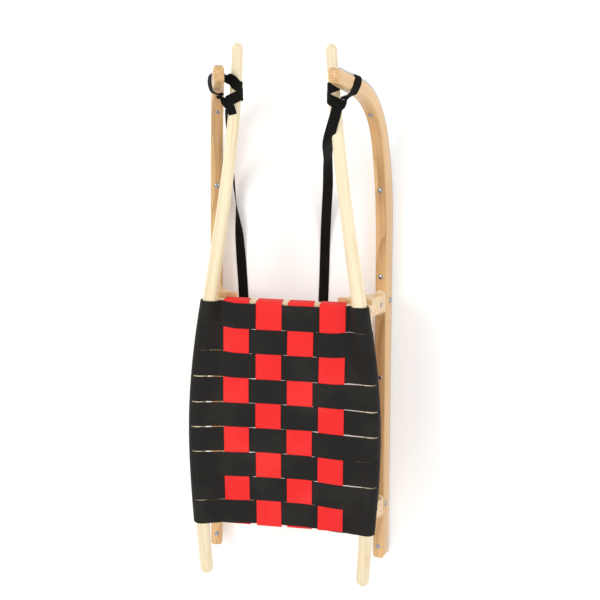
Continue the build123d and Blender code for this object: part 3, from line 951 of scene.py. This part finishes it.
def makeColumn(column):
    offsets = np.array(seat["columnPlaces"]) - seat["bandWidth"] / 2
    lines = [columnLine(column, columnYs[column] + offset) for offset in offsets]
    grid = np.zeros((len(lines[0]), len(offsets), 3))
    for k, (offset, line) in enumerate(zip(offsets, lines)):
        for i, (x, z) in enumerate(line):
            fold = smoothShare((weaveHeight - 0.001 - z) / seat["foldReach"])
            pinch = seat["foldPinch"] * fold * offset / offsets[-1]
            wave = seat["edgeWave"] * math.sin(x * 37 + column * 1.9)
            grid[i, k] = (x, columnYs[column] + offset - pinch + wave, z)
    piece, length = clothStrip(f"length_band_{column + 1}", grid, seat["thickness"])
    finishPiece(piece, webbing["redWebbing"], "red_webbing", "seat_length_bands")
    return grid


rowGrids = [makeRow(row) for row in range(rows)]
columnGrids = [makeColumn(column) for column in range(seat["columns"])]
print("seat woven")

# The pull strap is one long flat strap, with its two ends tied round rails and horns.
strap = {
    "width": 0.02,
    "thickness": 0.0016,
    "length": 1.65,
    "floorGap": 0.0002,
    "tieWidth": 0.97,              # of the strap's own width and thickness, where it is pulled tight
    "tieThickness": 0.8,
    "tieSteps": 6,
    # Control points, and how far the strap is rolled there from lying flat, in degrees.
    "route": [
        (0.4295, -0.0985, 0.2092, 0), (0.418, -0.097, 0.2105, 0), (0.386, -0.088, 0.213, 5),
        (0.357, -0.0775, 0.186, 30),
        (0.336, -0.072, 0.137, 50), (0.303, -0.065, 0.088, 30), (0.259, -0.060, 0.046, 8),
        (0.201, -0.053, 0.015, 0), (0.135, -0.049, 0.0012, 0), (0.065, -0.048, 0.0011, 0),
        (-0.008, -0.046, 0.0011, 0), (-0.082, -0.0465, 0.0011, 0), (-0.150, -0.048, 0.0012, 4),
        (-0.209, -0.043, 0.0045, 35), (-0.250, -0.021, 0.0092, 72), (-0.275, 0.017, 0.0101, 84),
        (-0.276, 0.062, 0.0101, 84), (-0.252, 0.101, 0.0092, 72), (-0.211, 0.121, 0.0045, 35),
        (-0.157, 0.122, 0.0012, 4), (-0.098, 0.118, 0.0011, 0), (-0.032, 0.1185, 0.0011, 0),
        (0.040, 0.122, 0.0011, 0), (0.105, 0.126, 0.0014, 0), (0.165, 0.129, 0.0045, 25),
        (0.222, 0.1335, 0.013, 75), (0.270, 0.133, 0.035, 84), (0.311, 0.1275, 0.072, 86),
        (0.345, 0.1195, 0.112, 88), (0.373, 0.113, 0.154, 90), (0.395, 0.1095, 0.188, 90),
        (0.418, 0.108, 0.196, 90),
    ],
}


# Points along the NURBS spline that has the route's points as its control points.
def routeLine(name, route):
    curve = bpy.data.curves.new(name, "CURVE")
    curve.dimensions = "3D"
    curve.resolution_u = 12
    spline = curve.splines.new("NURBS")
    spline.points.add(len(route) - 1)
    for point, place in zip(spline.points, route):
        point.co = (*place[:3], 1)
    spline.order_u = 3
    spline.use_endpoint_u = True
    host = newObject(name, curve)
    bare = bpy.data.meshes.new_from_object(host)
    line = np.array([vertex.co[:] for vertex in bare.vertices])
    bpy.data.objects.remove(host)
    return line


# A flat strip along a line. Each place has the direction of the strip's width.
def ribbonGrid(line, widths, width):
    shares = np.array((-0.5, -0.46, -0.38, -0.2, 0, 0.2, 0.38, 0.46, 0.5))
    return line[:, None, :] + widths[:, None, :] * (shares * width)[None, :, None]


def makeStrap():
    route = strap["route"]
    line = routeLine("strap_route", route)
    ahead = unit(np.gradient(line, axis=0))
    side = unit(np.cross(ahead, (0, 0, 1)))
    above = np.cross(side, ahead)
    place = np.linspace(0, len(route) - 1, len(line))
    roll = np.radians(np.interp(place, range(len(route)), [point[3] for point in route]))
    widths = side * np.cos(roll)[:, None] + above * np.sin(roll)[:, None]
    edgeDrop = strap["width"] / 2 * np.abs(widths[:, 2]) + strap["thickness"] / 2
    line[:, 2] = np.maximum(line[:, 2], edgeDrop + strap["floorGap"])
    grid = ribbonGrid(line, widths, strap["width"])
    piece, length = clothStrip("pull_strap_webbing", grid, strap["thickness"])
    finishPiece(piece, webbing["strapWebbing"], "black_webbing", "pull_strap")
    return piece, line, length


strapPiece, strapLine, strapLength = makeStrap()
print("strap length", round(strapLength, 4))


# A place round a rail: x, degrees from its outer side over the top, and height off its surface.
def roundRail(side, x, angle, off, edgeWay):
    y, z, radius = railAt(side, x)
    turn = math.radians(angle)
    normal = np.array((0, side * math.cos(turn), math.sin(turn)))
    return np.array((x, y, z)) + normal * (radius + off), np.array((edgeWay, 0.0, 0.0))


# A place round a horn, in the runner's own plane and outwards from it. The strap's first edge
# hangs down there, and stands further out the more it is tilted.
def roundHorn(side, along, up, out, tilt=0):
    origin, forward, upward, across = runnerAxes(side)
    outward = across if across[1] * side > 0 else -across
    turn = math.radians(runner["hornTurn"])
    horn = forward * math.cos(turn) + upward * math.sin(turn)
    return origin + forward * along + upward * up + outward * out, unit(outward * tilt - horn)


def stopsOf(kind, *rows):
    return [(kind, *row) for row in rows]


# The strap's ends. Each starts under the rail, goes over it to the horn and round the horn, then
# back over the rail and once round it, where the strap's first edge lies to the rear.
tieStart = stopsOf("rail", (0.449, -95, 0.001), (0.452, -140, 0.001))
tieWrap = stopsOf(
    "railBack", (0.436, 265, 0.0012), (0.431, 310, 0.0012), (0.427, 355, 0.0012), (0.425, 400, 0.0012)
)
tieStops = {
    -1: [
        *tieStart,
        *stopsOf(
            "rail", (0.455, 180, 0.001), (0.4575, 140, 0.001), (0.4595, 105, 0.0012), (0.462, 72, 0.002)
        ),
        ("free", (0.466, -0.1035, 0.2045), (0.6, 0.1, -0.8)),
        *stopsOf(
            "horn", (0.472, 0.206, -0.0128), (0.479, 0.205, -0.0105), (0.4825, 0.2045, -0.006),
            (0.4832, 0.205, 0.001), (0.4825, 0.206, 0.008, 0.15), (0.4795, 0.208, 0.013, 0.35),
            (0.471, 0.214, 0.0145, 0.5), (0.461, 0.221, 0.0135, 0.4), (0.453, 0.227, 0.0115, 0.2),
            (0.4475, 0.2285, 0.005), (0.4445, 0.2275, -0.003),
        ),
        *stopsOf(
            "free", ((0.4405, -0.1150, 0.2160), (-0.6, 0.25, -0.75), 0.45),
            ((0.4340, -0.1100, 0.2130), (-0.85, 0.4, -0.3), 0.62),
            ((0.4292, -0.1048, 0.2114), (-0.9, 0.42, -0.05), 0.95),
        ),
        *stopsOf(
            "railBack", (0.4335, 82, 0.0048), (0.437, 115, 0.0036), (0.4405, 150, 0.0026),
            (0.4415, 185, 0.0024), (0.440, 222, 0.0024),
        ),
        *tieWrap,
        ("railBack", 0.4245, 430, 0.0014),
    ],
    1: [
        *tieStart,
        *stopsOf(
            "rail", (0.456, 180, 0.001), (0.4575, 140, 0.001), (0.461, 105, 0.0014), (0.4685, 72, 0.003)
        ),
        ("free", (0.473, 0.1025, 0.2075), (0.97, -0.15, -0.2)),
        *stopsOf(
            "horn", (0.4785, 0.215, -0.0134, -1.1), (0.4815, 0.2085, -0.0108), (0.4828, 0.2055, -0.006),
            (0.4838, 0.205, 0.002), (0.4825, 0.206, 0.0085, 0.2), (0.4785, 0.208, 0.0135, 0.32),
            (0.470, 0.212, 0.0155, 0.34), (0.460, 0.217, 0.0145, 0.3), (0.4515, 0.221, 0.0115, 0.2),
            (0.4465, 0.223, 0.005), (0.443, 0.222, -0.003),
        ),
        *stopsOf(
            "free", ((0.4405, 0.1155, 0.2150), (-0.5, -0.2, -0.85), 0.7),
            ((0.4355, 0.1115, 0.2125), (-0.9, -0.25, -0.35), 0.5),
            ((0.431, 0.106, 0.2105), (-0.96, -0.29, -0.05), 0.95),
        ),
        *stopsOf(
            "railBack", (0.436, 82, 0.0048), (0.440, 115, 0.0036), (0.4435, 150, 0.0026),
            (0.444, 185, 0.0024), (0.441, 222, 0.0024),
        ),
        *tieWrap,
        ("railBack", 0.4245, 420, 0.0014),
    ],
}


# Each stop's place, the way of the strap's width there, and the share of the width left by folds.
def placeStop(side, kind, *values):
    if kind in ("rail", "railBack"):
        return *roundRail(side, *values, 1 if kind == "rail" else -1), 1.0
    if kind == "horn":
        return *roundHorn(side, *values), 1.0
    place, widthWay, *share = values
    return np.array(place), unit(np.array(widthWay, float)), share[0] if share else 1.0


# A smooth line through points, or their directions carried along it.
def throughPoints(values, steps):
    values = np.array(values)
    padded = np.concatenate([[2 * values[0] - values[1]], values, [2 * values[-1] - values[-2]]])
    line = []
    for i in range(1, len(padded) - 2):
        a, b, c, d = padded[i - 1:i + 3]
        for j in range(steps):
            t = j / steps
            slope, bend, twist = c - a, 2 * a - 5 * b + 4 * c - d, 3 * b - a - 3 * c + d
            line.append(0.5 * (2 * b + slope * t + bend * t**2 + twist * t**3))
    return np.array(line + [padded[-2]])


def makeTie(name, side, stopRows, *nodes):
    places, ways, shares = zip(*[placeStop(side, *stop) for stop in stopRows])
    line = throughPoints(places, strap["tieSteps"])
    ahead = unit(np.gradient(line, axis=0))
    widths = throughPoints(ways, strap["tieSteps"])
    widths = unit(widths - ahead * (widths * ahead).sum(axis=1)[:, None])
    widths = widths * throughPoints([(share,) for share in shares], strap["tieSteps"])
    grid = ribbonGrid(line, widths, strap["width"] * strap["tieWidth"])
    piece = clothStrip(name, grid, strap["thickness"] * strap["tieThickness"])[0]
    return finishPiece(piece, webbing["strapWebbing"], "black_webbing", *nodes)


# The left end's loose tail lies over the rail, to the rear of its knot.
tailStops = stopsOf(
    "free", ((0.4325, 0.1065, 0.2075), (0.45, 0.85, -0.25)), ((0.4265, 0.1025, 0.2090), (0.45, 0.85, -0.2)),
    ((0.4195, 0.0980, 0.2092), (0.42, 0.88, -0.18)), ((0.4125, 0.0950, 0.2084), (0.3, 0.93, -0.15), 0.9),
    ((0.4075, 0.0935, 0.2076), (0.2, 0.96, -0.12), 0.8),
)
ties = [
    makeTie("left_strap_tie_webbing", 1, tieStops[1], "left_strap_tie"),
    makeTie("right_strap_tie_webbing", -1, tieStops[-1], "right_strap_tie"),
    makeTie("left_strap_tail", 1, tailStops),
]
print("strap tied")

hardware = {
    "bolts": {                          # places along each runner, and a head's radius
        "topXs": (-0.508, -0.134, 0.077, 0.252, 0.402),
        "topRadius": 0.0052,
        "flanks": ((0.0255, 0.016), (-0.412, 0.0285)),     # along, and up from the shoe's underside
        "flankRadius": 0.0064,
        "dome": 0.42,
    },
    # X and Z of a front leg's bolt, and the heights that part its lower and upper corners.
    "legs": {"place": (0.0305, 0.0815), "radius": 0.0062, "lowEdge": 0.052, "highEdge": 0.16},
    "nuts": {"radius": 0.0078, "height": 0.0052},
    "shoeScrews": {"xs": (-0.5, -0.3, -0.1, 0.12, 0.33, 0.445), "radius": 0.004, "dome": 0.07},
    "staples": {"length": 0.0105, "wire": 0.0011, "lift": 0.0006, "shares": (3, 6), "inset": 0.009},
}


# Each point's turn, from the way that it faces and the way that its length runs.
def facingTurn(tree):
    node = tree.nodes.new("FunctionNodeAxesToRotation")
    node.primary_axis, node.secondary_axis = "Z", "X"
    put(tree, node.inputs[0], readNamed(tree, "facing", "FLOAT_VECTOR"))
    put(tree, node.inputs[1], readNamed(tree, "alongWay", "FLOAT_VECTOR"))
    return node.outputs[0]


# Puts the shape on each of the input's points.
def spread(tree, given, out, shape, size=None):
    sockets = {"Points": given["Geometry"], "Instance": shape, "Rotation": facingTurn(tree), "Scale": size}
    return finishTree(tree, given, out, step(tree, "InstanceOnPoints", **sockets).outputs[0])


# Domed heads, half sunk. Each point carries its size.
def headTree():
    tree, given, out = geometryTree("domedHeads", ("Segments", "Int", 22), ("Dome", "Float", 0.4))
    ball = step(tree, "MeshUVSphere", Segments=given["Segments"], Rings=12, Radius=1.0).outputs[0]
    head = step(tree, "Transform", Geometry=ball, Scale=joinVector(tree, 1.0, 1.0, given["Dome"])).outputs[0]
    return spread(tree, given, out, head, readNamed(tree, "size"))


# A round washer, a hexagonal nut on it and the bolt's end.
def nutTree():
    tree, given, out = geometryTree("washersAndNuts", ("Height", "Float", 0.005), ("Radius", "Float", 0.008))
    joined = step(tree, "JoinGeometry")
    for sides, radiusShare, low, high in ((28, 1.0, -0.1, 0.2), (6, 0.82, 0.2, 1.0), (16, 0.36, 1.0, 1.25)):
        radius = times(tree, given["Radius"], radiusShare)
        depth = times(tree, given["Height"], high - low)
        disc = step(tree, "MeshCylinder", Vertices=sides, Radius=radius, Depth=depth).outputs[0]
        middle = joinVector(tree, 0.0, 0.0, times(tree, given["Height"], (high + low) / 2))
        put(tree, joined.inputs[0], step(tree, "Transform", Geometry=disc, Translation=middle).outputs[0])
    return spread(tree, given, out, joined.outputs[0])


# Staples: thin flat crowns that lie along alongWay.
def stapleTree():
    tree, given, out = geometryTree("stapleRows", ("Length", "Float", 0.01), ("Wire", "Float", 0.001))
    size = joinVector(tree, given["Length"], given["Wire"], times(tree, given["Wire"], 0.8))
    return spread(tree, given, out, step(tree, "MeshCube", Size=size).outputs[0])


def zincMaterial():
    material, tree, shader = newMaterial("zincPlate", Metallic=1.0)
    place = objectPlace(tree)
    marks = useGroup(tree, "wear", Place=place, Patch_Scale=420.0, Scuff_Scale=1500.0)
    spangle = noise(tree, place, 900, 3, 0.6)
    colour = blendColour(tree, spangle, (0.24, 0.26, 0.29, 1), (0.50, 0.53, 0.57, 1))
    colour = blendColour(tree, times(tree, marks["Patches"], 0.35), colour, (0.17, 0.17, 0.18, 1))
    rough = plus(tree, 0.13, times(tree, spangle, 0.12))
    rough = plus(tree, rough, times(tree, marks["Scuffs"], 0.15))
    finishShader(tree, shader, colour, rough, spangle, 0.15, 0.0001)
    return material


# A place on a runner's face at x, and the way that the face looks.
def onRunnerFace(side, x, face):
    rows = []
    for middle, deep, across, wide, tall in runnerPaths[side]:
        outward = across if across[1] * side > 0 else -across
        way = {"top": deep, "shoe": -deep, "outer": outward, "inner": -outward}[face]
        reach = {"top": tall, "shoe": tall + runner["shoeThickness"]}.get(face, wide)
        rows.append(np.concatenate([middle + way * reach, way, middle - deep * tall, deep]))
    rows = np.array(rows)
    rows = rows[np.argsort(rows[:, 0])]
    found = [np.interp(x, rows[:, 0], rows[:, k]) for k in range(12)]
    return np.array(found[:3]), unit(np.array(found[3:6])), np.array(found[6:9]), unit(np.array(found[9:]))


# A place on a runner's flank, at a height over the shoe's underside.
def onFlank(side, x, up, face):
    place, way, underside, deep = onRunnerFace(side, x, face)
    return place + deep * (up - runner["shoeThickness"] - (place - underside) @ deep), way


# A place on the outer face of a leg, at x and z.
def onLeg(node, side, x, z):
    found = cutPoints(node, np.array((x, 0, 0)), forwards)
    reach, legs = found[:, 1] * side, hardware["legs"]
    parts = (found[:, 2] < legs["lowEdge"], found[:, 2] > legs["highEdge"])
    low, high = [found[reach == reach[part].max()][0] for part in parts]
    place = low + (high - low) * (z - low[2]) / (high[2] - low[2])
    way = np.cross(high - low, forwards)
    return place, unit(way if way[1] * side > 0 else -way)


# Hardware on stops: places, the ways that they face, and the ways that their lengths run.
def placePieces(name, tree, stops, sizes=None, **values):
    places, facings, ways = zip(*stops)
    attributes = {"facing": facings, "alongWay": ways}
    if sizes is not None:
        attributes["size"] = sizes
    host = hostOf(name, places, **attributes)
    host.data = runTree(host, tree, **values)
    if sizes is not None:                       # domed heads
        host.data.shade_smooth()
    finishPiece(host, values["Material"], "shoe_steel")


zinc = zincMaterial()


def makeBolts():
    bolts, heads, sizes, nuts = hardware["bolts"], [], [], []
    for side in (1, -1):
        for x in bolts["topXs"]:
            heads.append((*onRunnerFace(side, x, "top")[:2], sideways))
            sizes.append(bolts["topRadius"])
        for x, up in bolts["flanks"]:
            heads.append((*onFlank(side, x, up, "outer"), forwards))
            sizes.append(bolts["flankRadius"])
            nuts.append((*onFlank(side, x, up, "inner"), forwards))
    for side, node in ((1, "front_left_leg"), (-1, "front_right_leg")):
        heads.append((*onLeg(node, side, *hardware["legs"]["place"]), forwards))
        sizes.append(hardware["legs"]["radius"])
    placePieces("bolt_heads", headTree(), heads, sizes, Dome=bolts["dome"], Material=zinc)
    look = hardware["nuts"]
    placePieces("nuts", nutTree(), nuts, Height=look["height"], Radius=look["radius"], Material=zinc)


def makeScrews():
    look = hardware["shoeScrews"]
    stops = [(*onRunnerFace(side, x, "shoe")[:2], sideways) for side in (1, -1) for x in look["xs"]]
    sizes = [look["radius"]] * len(stops)
    placePieces("shoe_screws", headTree(), stops, sizes, Dome=look["dome"], Material=shoeSteel)


# Two staples hold each band end, on its outer surface.
def makeStaples():
    look, stops = hardware["staples"], []
    for grid in rowGrids:
        for near in (3, -4):
            for k in look["shares"]:
                place = grid[near, k]
                hubY, hubZ = railAt(1 if near > 0 else -1, place[0])[:2]
                way = unit(place - np.array((place[0], hubY, hubZ)))
                stops.append((place + way * look["lift"], way, forwards))
    for grid in columnGrids:
        for inner, after in ((0, 1), (-1, -2)):
            away = unit(grid[inner, 0] - grid[after, 0])
            for k in look["shares"]:
                place = grid[inner, k] - away * look["inset"]
                stops.append((place + downwards * look["lift"], downwards, sideways))
    placePieces("staples", stapleTree(), stops, Length=look["length"], Wire=look["wire"], Material=zinc)


makeBolts()
makeScrews()
makeStaples()
print("hardware ready")
